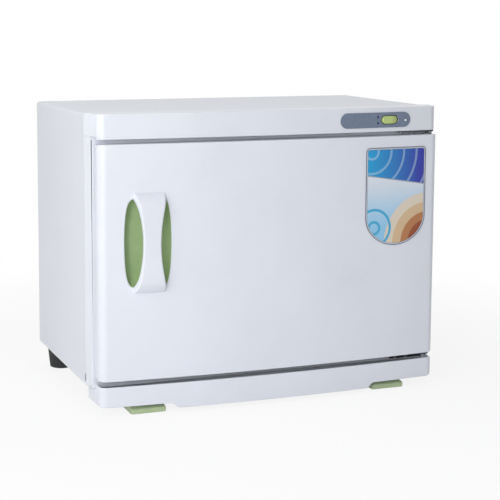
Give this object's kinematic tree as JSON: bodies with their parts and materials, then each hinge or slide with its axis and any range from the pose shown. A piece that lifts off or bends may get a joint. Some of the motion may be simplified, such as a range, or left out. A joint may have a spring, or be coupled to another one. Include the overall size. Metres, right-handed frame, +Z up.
{
  "type": "towel warmer cabinet",
  "caption": "Countertop hot towel cabinet with ultraviolet lamp: white steel shell, bowed hinged door with pull handle, green feet, rocker switch and pull-out drip tray.",
  "frame": {"origin": "on the table, under the middle of the object's bounding box", "axes": "+Z up, the door faces -Y, +X to the right of someone facing the door"},
  "size_m": [0.45, 0.2952, 0.353],
  "materials": {
    "painted_steel": "satin white powder coat",
    "plated_steel": "zinc plated sheet",
    "white_plastic": "glossy white moulding",
    "inner_plastic": "glossy white moulding",
    "chamber_sheet": "brushed",
    "wool": "matte fibre",
    "foam": "matte foam",
    "heater": "matte silicone",
    "rack_wire": "polished wire",
    "glass_tube": "clear quartz",
    "lamp_plastic": "satin white",
    "guard_sheet": "brushed",
    "grey_plate": "satin grey-blue",
    "green_plastic": "glossy light green",
    "cup_green": "satin green",
    "foot_green": "satin green",
    "black_plastic": "satin black",
    "lens_dark": "glossy dark lens",
    "lens_clear": "glossy clear lens",
    "screw_steel": "plated",
    "hinge_steel": "plated",
    "black_rubber": "matte",
    "gasket_rubber": "matte grey",
    "label_film": "printed film",
    "magnet": "matte",
    "bush_plastic": "satin"
  },
  "bodies": {
    "cabinet": {"wrap_shell": "painted_steel", "back_panel": "plated_steel", "base_plate": "plated_steel", "front_frame": "inner_plastic", "chamber": "chamber_sheet", "insulation": "wool", "left_runners": "chamber_sheet", "right_runners": "chamber_sheet", "upper_rack": "rack_wire", "lower_rack": "rack_wire", "heater_pad": "heater", "thermostat": "black_plastic", "thermal_fuse": "screw_steel", "lamp_tube": "glass_tube", "lamp_holders": "lamp_plastic", "lamp_guard": "guard_sheet", "component_tray": "plated_steel", "ballast": "hinge_steel", "lamp_starter": "lamp_plastic", "terminal_block": "lamp_plastic", "panel_plate": "grey_plate", "switch_body": "black_plastic", "heat_lens": "lens_dark", "lamp_lens": "lens_dark", "power_lens": "lens_clear", "upper_hinge_plate": "hinge_steel", "lower_hinge_plate": "hinge_steel", "upper_hinge_pin": "hinge_steel", "lower_hinge_pin": "hinge_steel", "hinge_screws": "screw_steel", "catch_magnet": "magnet", "front_foot_left": "foot_green", "front_foot_right": "foot_green", "rear_foot_left": "black_rubber", "rear_foot_right": "black_rubber", "foot_screws": "screw_steel", "back_screws": "screw_steel", "cord_gland": "black_plastic", "gland_nut": "black_plastic"},
    "door": {"door_shell": "white_plastic", "door_foam": "foam", "door_liner": "inner_plastic", "door_gasket": "gasket_rubber", "handle_cup": "cup_green", "handle_bar": "white_plastic", "handle_screws": "screw_steel", "door_label": "label_film", "upper_bush": "bush_plastic", "lower_bush": "bush_plastic", "catch_strike": "hinge_steel"},
    "tray": {"drip_tray": "white_plastic"},
    "rocker": {"switch_rocker": "green_plastic"}
  },
  "joints": [
    {"name": "door_hinge", "type": "hinge", "parent": "cabinet", "child": "door", "pos_m": [0.208, -0.12075, 0.1805], "axis": [0, 0, 1], "range_deg": [0, 110]},
    {"name": "tray_slide", "type": "slide", "parent": "cabinet", "child": "tray", "axis": [0, -1, 0], "range_m": [0, 0.045]},
    {"name": "rocker_tilt", "type": "hinge", "parent": "cabinet", "child": "rocker", "pos_m": [0.1505, -0.12643, 0.338], "axis": [0, 0, 1], "range_deg": [-12, 0]}
  ]
}
